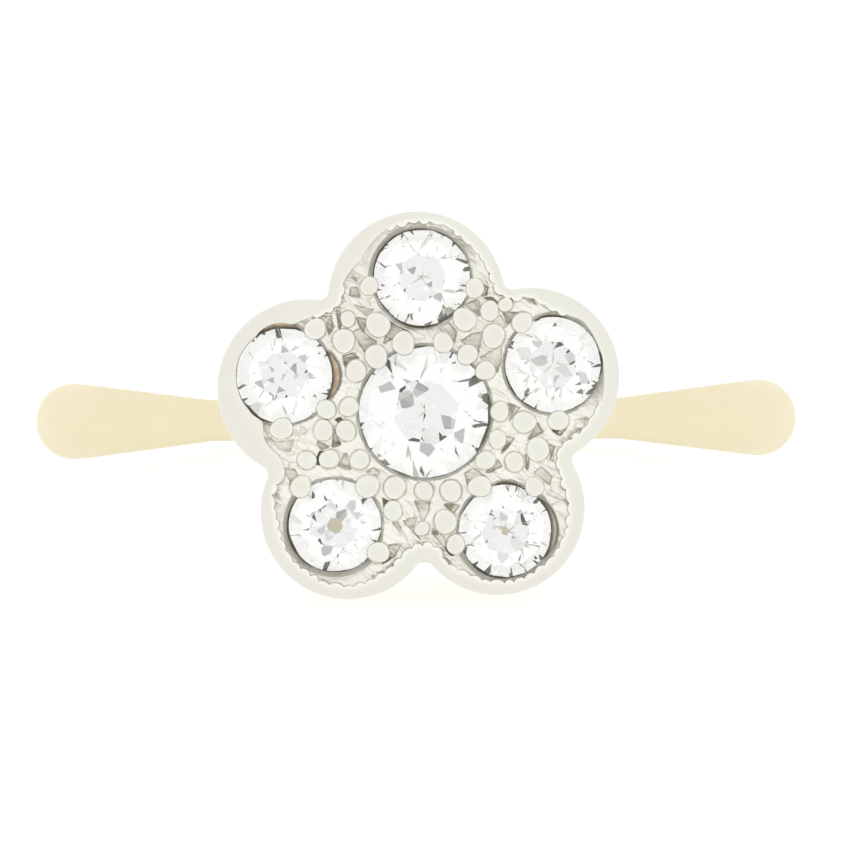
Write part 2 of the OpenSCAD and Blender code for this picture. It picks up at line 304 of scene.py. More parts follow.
# Painted shade in the hollows, pits, scratches and grooves of the white metal
SHADE_COLOUR = (0.48, 0.455, 0.38)
CULET_COLOUR = (0.95, 0.95, 0.94)
DIAMOND_IOR = 2.42
# Painted light: a faint glow in the stones, because they render darker without it
DIAMOND_PAINTED_GLOW = 0.012
# Height of the fine scratches in metres
SCRATCH_BUMP = 0.000004


def new_material(name, settings):
    mat = bpy.data.materials.new(name)
    mat.use_nodes = True
    tree = mat.node_tree
    tree.nodes.clear()
    out = tree.nodes.new("ShaderNodeOutputMaterial")
    shader = add_node(tree, "ShaderNodeBsdfPrincipled", **settings)
    tree.links.new(shader.outputs["BSDF"], out.inputs["Surface"])
    return mat, tree, shader


def add_node(tree, kind, **settings):
    node = tree.nodes.new(kind)
    for key, value in settings.items():
        if key in node.inputs:
            node.inputs[key].default_value = value
        else:
            setattr(node, key, value)
    return node


def noise(tree, scale, detail=3.0, stretch=(1, 1, 1)):
    """Noise over the object, with its scale in cells per metre."""
    place = add_node(tree, "ShaderNodeTexCoord")
    mapping = add_node(tree, "ShaderNodeMapping", Scale=stretch)
    tree.links.new(place.outputs["Object"], mapping.inputs["Vector"])
    node = add_node(tree, "ShaderNodeTexNoise", Scale=scale, Detail=detail)
    tree.links.new(mapping.outputs["Vector"], node.inputs["Vector"])
    return node.outputs["Fac"]


def remap(tree, value, low, high, to_low, to_high):
    node = tree.nodes.new("ShaderNodeMapRange")
    for key, number in (("From Min", low), ("From Max", high), ("To Min", to_low), ("To Max", to_high)):
        node.inputs[key].default_value = number
    tree.links.new(value, node.inputs["Value"])
    return node.outputs["Result"]


def mix_colours(tree, share, a, b):
    node = tree.nodes.new("ShaderNodeMix")
    node.data_type = "RGBA"
    for socket, value in ((node.inputs[0], share), (node.inputs[6], a), (node.inputs[7], b)):
        if isinstance(value, bpy.types.NodeSocket):
            tree.links.new(value, socket)
        elif socket.type == "RGBA":
            socket.default_value = (*value, 1)
        else:
            socket.default_value = value
    return node.outputs[2]


def painted(tree, name):
    """The values that a piece carries under one name."""
    return add_node(tree, "ShaderNodeAttribute", attribute_name=name).outputs["Fac"]


def add_values(tree, a, b):
    node = add_node(tree, "ShaderNodeMath", operation="ADD")
    tree.links.new(a, node.inputs[0])
    tree.links.new(b, node.inputs[1])
    return node.outputs[0]


def add_bump(tree, shader, height, distance, strength):
    bump = add_node(tree, "ShaderNodeBump", Strength=strength, Distance=distance)
    tree.links.new(height, bump.inputs["Height"])
    tree.links.new(bump.outputs["Normal"], shader.inputs["Normal"])


def gold_material():
    mat, tree, shader = new_material("pale_gold", {"Metallic": 1.0})
    cloud = noise(tree, 260, 3)
    scratch = noise(tree, 2200, 2, (1, 12, 1))
    cross = noise(tree, 2600, 2, (9, 1, 4))
    base = mix_colours(tree, remap(tree, cloud, 0.35, 0.65, 0, 1), *GOLD_COLOURS)
    tree.links.new(base, shader.inputs["Base Color"])
    tree.links.new(remap(tree, scratch, 0.3, 0.7, 0.4, 0.5), shader.inputs["Roughness"])
    add_bump(tree, shader, add_values(tree, scratch, cross), SCRATCH_BUMP, 0.25)
    return mat


def white_material(name, low, high):
    mat, tree, shader = new_material(name, {"Metallic": 1.0})
    cloud = noise(tree, 420, 3)
    scratch = noise(tree, 5200, 3, (1, 1, 5))
    patchy = remap(tree, noise(tree, 7000, 3), 0.4, 0.6, 0, 1)
    base = mix_colours(tree, remap(tree, cloud, 0.35, 0.65, 0, 1), low, high)
    # Painted highlight where the piece's highlight values say
    base = mix_colours(tree, painted(tree, "polish"), base, HIGHLIGHT_COLOUR)
    # Painted shade where the piece's shade values say
    base = mix_colours(tree, painted(tree, "cavity"), base, SHADE_COLOUR)
    # Gold in painted shade where the piece's values say
    old_gold = mix_colours(tree, patchy, *SHADED_GOLD_COLOURS)
    base = mix_colours(tree, painted(tree, "gold"), base, old_gold)
    tree.links.new(base, shader.inputs["Base Color"])
    tree.links.new(remap(tree, scratch, 0.3, 0.7, 0.4, 0.52), shader.inputs["Roughness"])
    add_bump(tree, shader, scratch, SCRATCH_BUMP, 0.3)
    return mat


def diamond_material():
    # The stones' faint glow is painted light
    looks = {"IOR": DIAMOND_IOR, "Emission Color": (1, 1, 0.98, 1), "Emission Strength": DIAMOND_PAINTED_GLOW}
    mat, tree, shader = new_material("old_cut_diamond", looks)
    haze = noise(tree, 900, 4)
    culet = painted(tree, "culet")
    clear = mix_colours(tree, remap(tree, haze, 0.4, 0.7, 0, 1), *DIAMOND_COLOURS)
    tree.links.new(mix_colours(tree, culet, clear, CULET_COLOUR), shader.inputs["Base Color"])
    tree.links.new(remap(tree, culet, 0, 1, 1.0, 0.8), shader.inputs["Transmission Weight"])
    tree.links.new(remap(tree, noise(tree, 6000, 2), 0.5, 0.8, 0.0, 0.03), shader.inputs["Roughness"])
    return mat


GOLD = gold_material()
WHITE = white_material("worn_platinum", *WORN_COLOURS)
# A lighter copy of the worn platinum for the carved field: painted light
BRIGHT_LIT = white_material("bright_cut_platinum_lit", *CUT_LIT_COLOURS)
DIAMOND = diamond_material()


# Stones

# Old European cut with eight sides, by shares of the stone's radius
TABLE = 0.52
CROWN = 0.3
PAVILION = 0.86
HALF_GIRDLE = 0.02
CULET = 0.07
STAR_REACH = 0.77
LOWER_REACH = 0.4
SIDE_ANGLE = 45
SIDE_COS = math.cos(math.radians(SIDE_ANGLE / 2))
PAVILION_SLOPE = (PAVILION - HALF_GIRDLE) / (1 - CULET * SIDE_COS)
# An old stone is cut by eye, so its facets lean and sit a little unevenly
FACET_LEAN = 0.02
FACET_SLIP = 0.006
# Sides of the round blank, and how near to each other two corners of a stone are joined
BLANK_SIDES = 64
CORNER_JOIN = 0.002

# The centre stone comes first, then the petals in the order of LOBES
STONE_NODES = ["centre_stone"]
STONE_NODES += ["petal_stone_" + side for side in ("top", "left", "lower_left", "lower_right", "right")]
FACET_TURNS = [12] + [row[6] for row in LOBES]
CULET_SHARES = [0.03] + [row[7] for row in LOBES]


def cut_planes(r, culet_share, rand):
    """Facet planes of a stone of radius r as rows (nx, ny, nz, d), with the points n.p < d inside."""
    crown_slope = (CROWN - HALF_GIRDLE) / (1 - TABLE)
    star_z = HALF_GIRDLE + (1 - STAR_REACH * SIDE_COS) * crown_slope
    lower_z = -HALF_GIRDLE - (1 - LOWER_REACH * SIDE_COS) * PAVILION_SLOPE
    culet_drop = HALF_GIRDLE + (1 - culet_share * SIDE_COS) * PAVILION_SLOPE
    planes = [np.array([0, 0, 1, CROWN]), np.array([0, 0, -1, culet_drop])]

    def at(reach, degrees, z):
        return np.array([*polar(reach, degrees), z])

    def through(a, b, c):
        n = np.cross(b - a, c - a)
        n /= np.linalg.norm(n)
        if n @ a < 0:
            n = -n
        planes.append(np.array([*n, n @ a]))

    for k in range(360 // SIDE_ANGLE):
        a, b = SIDE_ANGLE * k, SIDE_ANGLE * (k + 0.5)
        side = np.array([*polar(1, a + 90), 0])
        lower = at(LOWER_REACH * SIDE_COS, a, lower_z)
        through(at(TABLE, a, CROWN), at(1, a, HALF_GIRDLE), at(1, a, HALF_GIRDLE) + side)
        through(at(1, a, -HALF_GIRDLE), lower, at(1, a, -HALF_GIRDLE) + side)
        through(at(TABLE, a, CROWN), at(TABLE, a + SIDE_ANGLE, CROWN), at(STAR_REACH, b, star_z))
        for turn in (a, a + SIDE_ANGLE):
            through(at(STAR_REACH, b, star_z), at(1, turn, HALF_GIRDLE), at(1, b, HALF_GIRDLE))
            through(at(LOWER_REACH, b, lower_z), at(1, turn, -HALF_GIRDLE), at(1, b, -HALF_GIRDLE))
    planes = np.array(planes)
    planes[2:, :3] += rand.normal(0, FACET_LEAN, (len(planes) - 2, 3))
    planes[:, :3] /= np.linalg.norm(planes[:, :3], axis=1)[:, None]
    planes[:, 3] *= r * (1 - np.abs(rand.normal(0, FACET_SLIP, len(planes))))
    return planes


def cut_stone(index, rand):
    """Cuts a stone from a round blank, and gives its facet planes as they lie on the ring."""
    node = STONE_NODES[index]
    name = node.replace("stone", "diamond")
    r = STONE_R[index]
    planes = cut_planes(r, CULET_SHARES[index], rand)
    bm = bmesh.new()
    bmesh.ops.create_cone(
        bm, cap_ends=True, cap_tris=False, segments=BLANK_SIDES, radius1=r, radius2=r, depth=3 * r
    )
    for nx, ny, nz, d in planes:
        normal = Vector((nx, ny, nz))
        geom = bm.verts[:] + bm.edges[:] + bm.faces[:]
        cut = bmesh.ops.bisect_plane(
            bm, geom=geom, dist=1e-5, plane_co=normal * d, plane_no=normal, clear_outer=True
        )
        edges = [e for e in cut["geom_cut"] if isinstance(e, bmesh.types.BMEdge)]
        bmesh.ops.edgeloop_fill(bm, edges=edges)
    bmesh.ops.remove_doubles(bm, verts=bm.verts[:], dist=CORNER_JOIN)
    bmesh.ops.recalc_face_normals(bm, faces=bm.faces[:])
    turn = Matrix.Rotation(math.radians(FACET_TURNS[index]), 3, "Z")
    for v in bm.verts:
        p = turn @ v.co
        v.co = laid_down([p.x + STONE_AT[index][0], p.y + STONE_AT[index][1], p.z + GIRDLE_Z])
    mesh = bpy.data.meshes.new(name)
    bm.to_mesh(mesh)
    bm.free()
    worn = mesh.attributes.new("culet", "FLOAT", "FACE")
    worn.data.foreach_set("value", [float(f.normal.dot(-FACE_WAY) > 0.99) for f in mesh.polygons])
    mesh.materials.append(DIAMOND)
    piece = bpy.data.objects.new(name, mesh)
    bpy.context.scene.collection.objects.link(piece)
    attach(piece, "root")
    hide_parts(node)
    turned = planes.copy()
    turned[:, :3] = planes[:, :3] @ np.array(turn).T
    return turned


STONE_PLANES = [cut_stone(k, np.random.default_rng(STONE_SEED + k)) for k in range(len(STONE_NODES))]

# Clearance of a grain over a stone's crown, and the least upward part of a crown facet's normal
CROWN_PLAY = 0.012
CROWN_UPWARD = 0.2


def lift_clear(points):
    """Raises points that lie inside a stone's edge onto its crown."""
    points = points.copy()
    for at, r, planes in zip(STONE_AT, STONE_R, STONE_PLANES):
        p = points[..., :2] - at
        inside = np.linalg.norm(p, axis=-1) < r + CROWN_PLAY
        crown = planes[planes[:, 2] > CROWN_UPWARD]
        heights = (crown[:, 3] - p @ crown[:, :2].T) / crown[:, 2]
        low = np.min(heights, axis=-1) + GIRDLE_Z + CROWN_PLAY
        points[..., 2] = np.where(inside, np.maximum(points[..., 2], low), points[..., 2])
    return points


# Gold: hoop, gallery and backing

# Radii of the edges beside the finger and beside the dome
COMFORT_R = 0.14
SIDE_EDGE_R = 0.3
# At its full width the shank would have no edge beside the dome, so its section stops short of it
SECTION_MOST = 0.996
HOOP_STEPS = 300
HOOP_MID_R = (BORE_R + SHANK_R) / 2
# Size of the wear outside
WEAR = 0.006


def hoop_section(w):
    """Section of the hoop with half-width w: pairs (radius, side), from the finger side round to it again."""
    w = min(w, SECTION_MOST)
    inner, outer = COMFORT_R, min(SIDE_EDGE_R, 0.6 * w)
    mid = SHANK_R - DOME_R
    fillet = np.array([mid + math.sqrt(max((DOME_R - outer) ** 2 - (w - outer) ** 2, 0)), w - outer])
    meet = math.atan2(fillet[1], fillet[0] - mid)
    flat = np.stack([np.full(5, BORE_R), np.linspace(0, w - inner, 5)], axis=-1)
    a = np.linspace(0, math.pi / 2, 6)[1:]
    comfort = np.stack([BORE_R + inner * (1 - np.cos(a)), w - inner + inner * np.sin(a)], axis=-1)
    side = np.stack([np.linspace(BORE_R + inner, fillet[0], 5)[1:], np.full(4, w)], axis=-1)
    a = np.linspace(math.pi / 2, meet, 6)[1:]
    round_edge = fillet + outer * np.stack([np.cos(a), np.sin(a)], axis=-1)
    a = np.linspace(meet, 0, 10)[1:]
    dome = np.stack([mid + DOME_R * np.cos(a), DOME_R * np.sin(a)], axis=-1)
    one = np.concatenate([flat, comfort, side, round_edge, dome])
    other = one[1:-1][::-1] * [1, -1]
    return np.concatenate([one, other])


def side_at(x):
    """Half-width of the hoop at a distance x from the middle of the finger."""
    ends = SHANK_R * math.sin(SHOULDER_ANGLE), SHANK_R * math.sin(TAPER_ANGLE)
    return np.interp(np.abs(x), ends, (SHOULDER_W / 2, DOME_R))


def add_hoop(shell):
    end = math.asin((GALLERY_REACH + FOOT_R - GALLERY_T) / HOOP_MID_R)
    rows = []
    for t in np.linspace(end, 2 * math.pi - end, HOOP_STEPS):
        w = side_at(HOOP_MID_R * math.sin(t))
        section = hoop_section(w)
        side = section[:, 1] / w * side_at(section[:, 0] * math.sin(t))
        # Years of wear leave the outside a little uneven
        lift = (section[:, 0] - BORE_R) / (SHANK_R - BORE_R)
        wear = WEAR * (math.sin(7 * t + 1) + math.sin(17 * t) * 0.6) * lift - WEAR * lift
        r = section[:, 0] + wear
        rows.append(np.stack([r * math.sin(t), side, r * math.cos(t)], axis=-1))
    rows = np.array(rows)
    shell.grid(rows, around=True)
    n = rows.shape[1]
    shell.add(rows[0], [list(range(n))])
    shell.add(rows[-1], [list(range(n))[::-1]])


# Rows up the gallery's wall, points round it, and how far it runs up into the backing
GALLERY_ROWS = 14
GALLERY_POINTS = 240
GALLERY_BITE = 0.1
# Each side of the wall draws in at its foot: how steeply, and over what share of its height
FOOT_THIN = 0.4
FOOT_SHARE = 0.12


def lobed_radius(angles, radii, least):
    """Distance from the middle of the head out to the gallery's lobes, but no less than the least."""
    best = np.full(angles.shape, least)
    for row, r in zip(LOBES, radii):
        d = row[1] * GALLERY_REACH
        turn = angles - math.radians(row[0])
        inside = r**2 - (d * np.sin(turn)) ** 2
        hit = d * np.cos(turn) + np.sqrt(np.maximum(inside, 0))
        best = np.maximum(best, np.where((inside > 0) & (np.cos(turn) > 0), hit, 0))
    return best


def soften(values, rounds):
    """Evens out values that stand round a loop."""
    for _ in range(rounds):
        values = 0.5 * values + 0.25 * (np.roll(values, 1) + np.roll(values, -1))
    return values


def add_gallery(shell):
    widen = (LOBE_RING_R + LOBE_R - GALLERY_STEP - GALLERY_REACH - FOOT_R) / (BACKING_Z - BORE_R)
    angles = np.linspace(0, 2 * math.pi, GALLERY_POINTS, endpoint=False)
    top_z = BACKING_Z + GALLERY_BITE

    def side(inset, least, thin):
        rows = []
        for share in np.linspace(0, 1, GALLERY_ROWS):
            thinned = thin * max(0.0, FOOT_SHARE - share) ** 2 / FOOT_SHARE
            # The wall flares with its height and stands on the round hoop, so both are found in rounds
            z = np.full(angles.shape, top_z - 2.0)
            for _ in range(12):
                radii = [row[2] * FOOT_R - inset + (z - BORE_R) * widen for row in LOBES]
                r = soften(lobed_radius(angles, radii, least), 3) + thinned
                x = HEAD_MID[0] + r * np.cos(angles)
                foot = np.sqrt(BORE_R**2 - x**2)
                z = foot + (top_z - foot) * share
            rows.append(np.stack([x, HEAD_MID[1] + r * np.sin(angles), z], axis=-1))
        return rows

    outer = side(0, 0.0, -FOOT_THIN)
    inner = side(GALLERY_T, GALLERY_REACH - GALLERY_T / 2, FOOT_THIN)
    shell.grid(np.array(inner[::-1] + outer), around=True, along=True)


# Light hole: its share of the stone's radius, clearance, sides and lower bevel
HOLE_SHARE = 0.5
HOLE_PLAY = 0.06
HOLE_SIDES = 64
HOLE_BEVEL = 0.02
# Radii of the backing's edges, and the pitch of points round it and round flat faces
BACKING_LOW_R = 0.12
BACKING_HIGH_R = 0.03
BACKING_PITCH = 0.08
PLATE_PITCH = 0.12


def hole_radius(r):
    return r * HOLE_SHARE + HOLE_PLAY


def seat_cone(r):
    """Slope of the seat's cone, and the height where it opens from the light hole."""
    slope = (1 - LOWER_REACH * SIDE_COS) * PAVILION_SLOPE / (1 - LOWER_REACH)
    return slope, GIRDLE_Z - HALF_GIRDLE * r - r * HOLE_SHARE * slope


def add_plate(shell, z, inset, holes, up):
    """A flat face within the outline, with round holes."""
    points, normals, _ = outline_path(PLATE_PITCH)
    loops = [points - normals * inset]
    for at, r in holes:
        loops.append(at + polar(r, np.linspace(0, -360, HOLE_SIDES, endpoint=False)))
    flat = [[Vector((*p, 0)) for p in loop] for loop in loops]
    tris = np.array([list(t) for t in tessellate_polygon(flat)])
    points = np.concatenate(loops)
    a, b, c = (points[tris[:, k]] for k in range(3))
    area = (b[:, 0] - a[:, 0]) * (c[:, 1] - a[:, 1]) - (b[:, 1] - a[:, 1]) * (c[:, 0] - a[:, 0])
    tris = np.where(((area > 0) == up)[:, None], tris, tris[:, ::-1])
    shell.add(np.column_stack([points, np.full(len(points), z)]), tris[np.abs(area) > 1e-9])


def add_backing(shell):
    # Pairs of distance inward from the outline and height
    profile = []
    for t in np.linspace(0, math.pi / 2, 5):
        drop = BACKING_LOW_R * math.cos(t)
        profile.append((BACKING_LOW_R - BACKING_LOW_R * math.sin(t), BACKING_Z + BACKING_LOW_R - drop))
    for t in np.linspace(0, math.pi / 2, 4):
        rise = BACKING_HIGH_R * math.sin(t)
        profile.append((BACKING_HIGH_R - BACKING_HIGH_R * math.cos(t), BACKING_TOP_Z - BACKING_HIGH_R + rise))
    points, normals, _ = outline_path(BACKING_PITCH)
    rows = [np.column_stack([points - normals * inset, np.full(len(points), z)]) for inset, z in profile]
    shell.grid(np.array(rows), around=True)
    holes = [(at, hole_radius(r)) for at, r in STONES]
    add_plate(shell, BACKING_Z, BACKING_LOW_R, holes, up=False)
    turns = np.linspace(0, 360, HOLE_SIDES, endpoint=False)
    tops = []
    for (at, hole), r in zip(holes, STONE_R):
        slope, cone_z = seat_cone(r)
        top = hole + (BACKING_TOP_Z - cone_z) / slope
        # Pairs of radius and height
        wall = (
            (hole + HOLE_BEVEL, BACKING_Z),
            (hole, BACKING_Z + HOLE_BEVEL),
            (hole, cone_z),
            (top, BACKING_TOP_Z),
        )
        rows = [np.column_stack([at + polar(radius, turns), np.full(HOLE_SIDES, z)]) for radius, z in wall]
        shell.grid(np.array(rows), around=True, flip=True)
        tops.append((at, top))
    add_plate(shell, BACKING_TOP_Z, BACKING_HIGH_R, tops, up=True)


gold_shell = Shell()
add_hoop(gold_shell)
add_gallery(gold_shell)
add_backing(gold_shell)
make_piece("gold_shank", gold_shell, GOLD, replaces=["shank"], sharp=40)


# White face: rim, milgrain, seats, carved field and grains

EDGE_PITCH = 0.03
EDGE_POINTS, EDGE_NORMALS, EDGE_LOBES = outline_path(EDGE_PITCH)

# Width of the rim's plain band round each lobe, in millimetres: pairs of clock angle and width
RIM_WIDTHS = (
    ((0, 0.27), (22, 0.25), (38, 0.29), (57, 0.26), (73, 0.2), (98, 0.235), (120, 0.367), (143, 0.54),
     (165, 0.36), (185, 0.3)),
    ((65, 0.3), (80, 0.42), (100, 0.62), (118, 0.55), (132, 0.46), (165, 0.48), (190, 0.6), (205, 0.8),
     (218, 0.9), (230, 0.6), (242, 0.48), (256, 0.32), (275, 0.28)),
    ((140, 0.24), (164, 0.2), (182, 0.36), (211, 0.344), (240, 0.306), (271, 0.28), (294, 0.375),
     (319, 0.41), (335, 0.36)),
    ((210, 0.3), (224, 0.28), (250, 0.33), (280, 0.268), (338, 0.327), (365, 0.383), (385, 0.4),
     (400, 0.32)),
    ((300, 0.3), (323, 0.345), (360, 0.41), (388, 0.38), (406, 0.33), (418, 0.46), (434, 0.44),
     (452, 0.2), (475, 0.2)),
)
# Rounds in which the width is evened out
WIDTH_ROUNDS = 24


def edge_widths():
    width = np.zeros(len(EDGE_POINTS))
    for i, stops in enumerate(RIM_WIDTHS):
        mine = EDGE_LOBES == i
        middle = LOBES[i][0]
        turn = turn_from(middle, clock_of(EDGE_POINTS[mine] - LOBE_AT[i]))
        turned = sorted((turn_from(middle, clock), w) for clock, w in stops)
        width[mine] = np.interp(turn, *zip(*turned))
    return soften(width, WIDTH_ROUNDS)


EDGE_WIDTHS = edge_widths()
EDGE_TREE = KDTree(len(EDGE_POINTS))
for k, (px, py) in enumerate(EDGE_POINTS):
    EDGE_TREE.insert((px, py, 0), k)
EDGE_TREE.balance()


def edge_at(p):
    """Distance inward from the outline, and the width of the rim's plain band there."""
    nearest = np.array([EDGE_TREE.find((x, y, 0))[1] for x, y in p])
    away = p - EDGE_POINTS[nearest]
    outward = np.sum(away * EDGE_NORMALS[nearest], axis=1)
    return np.linalg.norm(away, axis=1) * np.where(outward < 0, 1, -1), EDGE_WIDTHS[nearest]


# Bare gap beside each stone: stone, clock angle, half its length in degrees, width in millimetres, and
# how much gold shows in it, painted dark brown as gold in shade
SEAT_GAPS = (
    (1, 262, 36, 0.06, 0.6), (1, 140, 60, 0.04, 0.5),
    (2, 0, 32, 0.19, 1.0), (2, 97, 30, 0.12, 1.0), (2, 238, 20, 0.05, 0.4),
    (3, 190, 58, 0.05, 0.8),
    (4, 86, 19, 0.07, 0.3), (4, 3, 44, 0.13, 0.1), (4, 250, 42, 0.035, 0.0),
    (5, 92, 24, 0.055, 0.2), (5, 3, 16, 0.045, 0.0), (5, 200, 40, 0.02, 0.0),
)
# Width of the gap elsewhere
LEAST_GAP = 0.004

# Smooth ring cut round a stone: stone, clock angle, half its length in degrees
SMOOTH_RINGS = ((1, 150, 42), (3, 230, 100), (4, 300, 112))


def seat_gap(stone, degrees):
    """Width of the gap beside a stone at a clock angle, and how much gold shows in it, painted as gold in
    shade.
    """
    gap = np.full(np.shape(degrees), LEAST_GAP)
    gold = np.zeros(np.shape(degrees))
    for which, clock, half, width, share in SEAT_GAPS:
        if which == stone:
            off = turn_from(clock, degrees) / half
            bump = np.clip(1 - off * off, 0, 1)
            gap = np.maximum(gap, width * bump)
            gold = np.maximum(gold, share * smooth_step(bump, 0.0, 0.3))
    return gap, gold


def all_grains():
    """Centre and radius of each grain."""
    rows = []
    for at, r, grains in zip(STONE_AT, STONE_R, (CENTRE_GRAINS, *PETAL_GRAINS)):
        rows += [(at + polar(r + off * GRAIN_D, clock), size) for clock, off, size in grains]
    rows += [(HEAD_MID + polar(reach * LOBE_RING_R, angle), size) for angle, reach, size in FIELD_GRAINS]
    return [(at, size * GRAIN_D / 2) for at, size in rows]


GRAINS = all_grains()


# Where the milgrain shows: lobe, first and last clock angle round it
MILGRAIN = (
    (0, -5, 112), (0, 168, 200), (1, 55, 84), (2, 140, 345), (3, 205, 410), (4, 296, 340), (4, 60, 145),
)
# Its pitch, how far off it a cut may be as a share, its least depth and how much is added
MILGRAIN_PITCH = 0.3
MILGRAIN_SLIP = 0.16
MILGRAIN_LEAST = 0.03
MILGRAIN_MORE = 0.1


def milgrain_steps():
    """How far the worn milgrain stands inward of the rim's plain band, and where it shows."""
    rand = np.random.default_rng(MILGRAIN_SEED)
    line = EDGE_POINTS - EDGE_NORMALS * EDGE_WIDTHS[:, None]
    steps = np.linalg.norm(np.roll(line, -1, axis=0) - line, axis=1)
    along = np.concatenate([[0], np.cumsum(steps)[:-1]])
    count = int(round(steps.sum() / MILGRAIN_PITCH))
    slips = rand.uniform(-MILGRAIN_SLIP, MILGRAIN_SLIP, count + 1)
    cuts = (np.arange(count + 1) + slips) * steps.sum() / count
    cuts[0], cuts[-1] = 0, steps.sum()
    which = np.searchsorted(cuts, along, side="right") - 1
    share = (along - cuts[which]) / (cuts[which + 1] - cuts[which])
    deep = (MILGRAIN_LEAST + MILGRAIN_MORE * rand.beta(2.0, 1.6, count))[which]
    clock = clock_of(EDGE_POINTS - LOBE_AT[EDGE_LOBES])
    shown = np.zeros(len(line))
    for lobe, low, high in MILGRAIN:
        shown = np.maximum(shown, (EDGE_LOBES == lobe) & ((clock - low) % 360 < high - low))
    return deep * shown * np.sqrt(np.sin(np.pi * share)), shown


# Distances of the face's underside inside the outline, and of its holes inside the stones
UNDER_INSET = 0.05
UNDER_HOLES = 0.1
# Clearance of the rim beside a gap, its growth with depth, and the rim's painted highlight and painted
# shade where no milgrain shows
RIM_CLEAR = 0.006
RIM_DRAFT = 0.02
PLAIN_HIGHLIGHT = 0.3
PLAIN_SHADE = 0.35


def add_rim(shell):
    scallop, milled = milgrain_steps()
    width = EDGE_WIDTHS + scallop
    still = np.zeros(len(width))
    # Columns: distance inward, height over the face, painted highlight, painted shade
    profile = (
        (still + UNDER_INSET, -0.62, 0, 0), (still, -0.57, 0, 0), (still, -0.3, 0, 0), (still, -0.06, 0, 0),
        (still, -0.022, 0, 0), (still + 0.006, -0.007, 0, 0), (still + 0.018, -0.001, 0, 0),
        (still + 0.035, 0.0, 0, 0), (still + 0.06, 0.001, 0, 0), (EDGE_WIDTHS * 0.5, 0.003, 0, 0),
        (EDGE_WIDTHS - 0.06, 0.003, 0.1, 0), (width - 0.05, 0.0, 0.5, 0), (width - 0.02, -0.012, 0.8, 0),
        (width - 0.004, -0.035, 0.3, 0), (width + 0.008, -0.07, 0, 0.9), (width + 0.022, -0.3, 0, 1),
        (width + 0.03, -0.45, 0, 1),
    )
    rows, highlights, shade = [], [], []
    for inset, drop, highlight_share, dark in profile:
        ring = EDGE_POINTS - EDGE_NORMALS * inset[:, None]
        for k, (at, r) in enumerate(STONES):
            away = ring - at
            reach = np.linalg.norm(away, axis=1)
            gap, _ = seat_gap(k, clock_of(away))
            push = np.maximum(r + gap + RIM_CLEAR - RIM_DRAFT * drop - reach, 0) / reach
            ring = ring + away * push[:, None]
        rows.append(np.column_stack([ring, np.full(len(ring), FACE_Z + drop)]))
        # Painted highlight on the rim's inner edge and painted shade under it, less where no milgrain shows
        highlights.append(highlight_share * (PLAIN_HIGHLIGHT + (1 - PLAIN_HIGHLIGHT) * milled))
        shade.append(dark * (PLAIN_SHADE + (1 - PLAIN_SHADE) * milled))
    shell.grid(np.array(rows), around=True, polish=np.array(highlights), cavity=np.array(shade))
    holes = [(at, r - UNDER_HOLES) for at, r in STONES]
    add_plate(shell, SEAM_Z, UNDER_INSET, holes, up=False)


# Cells along a side of a net before its heights repeat, its lean, and its rows to a pitch
NET_CELLS = 256
NET_LEAN = 0.577
NET_ROWS = 1.1547


def lattice_noise(x, y, pitch, seed):
    """Random heights on a triangular net, joined by flat facets."""
    table = np.random.default_rng(seed).uniform(-1, 1, (NET_CELLS + 1, NET_CELLS + 1))
    u = (x + y * NET_LEAN) / pitch
    v = y * NET_ROWS / pitch
    i, j = np.floor(u).astype(int), np.floor(v).astype(int)
    a, b = u - i, v - j
    i, j = i % NET_CELLS, j % NET_CELLS
    low = table[i, j] + a * (table[i + 1, j] - table[i, j]) + b * (table[i, j + 1] - table[i, j])
    far = table[i + 1, j + 1]
    high = far + (1 - a) * (table[i, j + 1] - far) + (1 - b) * (table[i + 1, j] - far)
    return np.where(a + b < 1, low, high)


# Front view that charts the graver's cuts: pixel at the middle of the finger, pixels to a millimetre
VIEW_MID = (416, 419.4)
VIEW_SCALE = 39.2
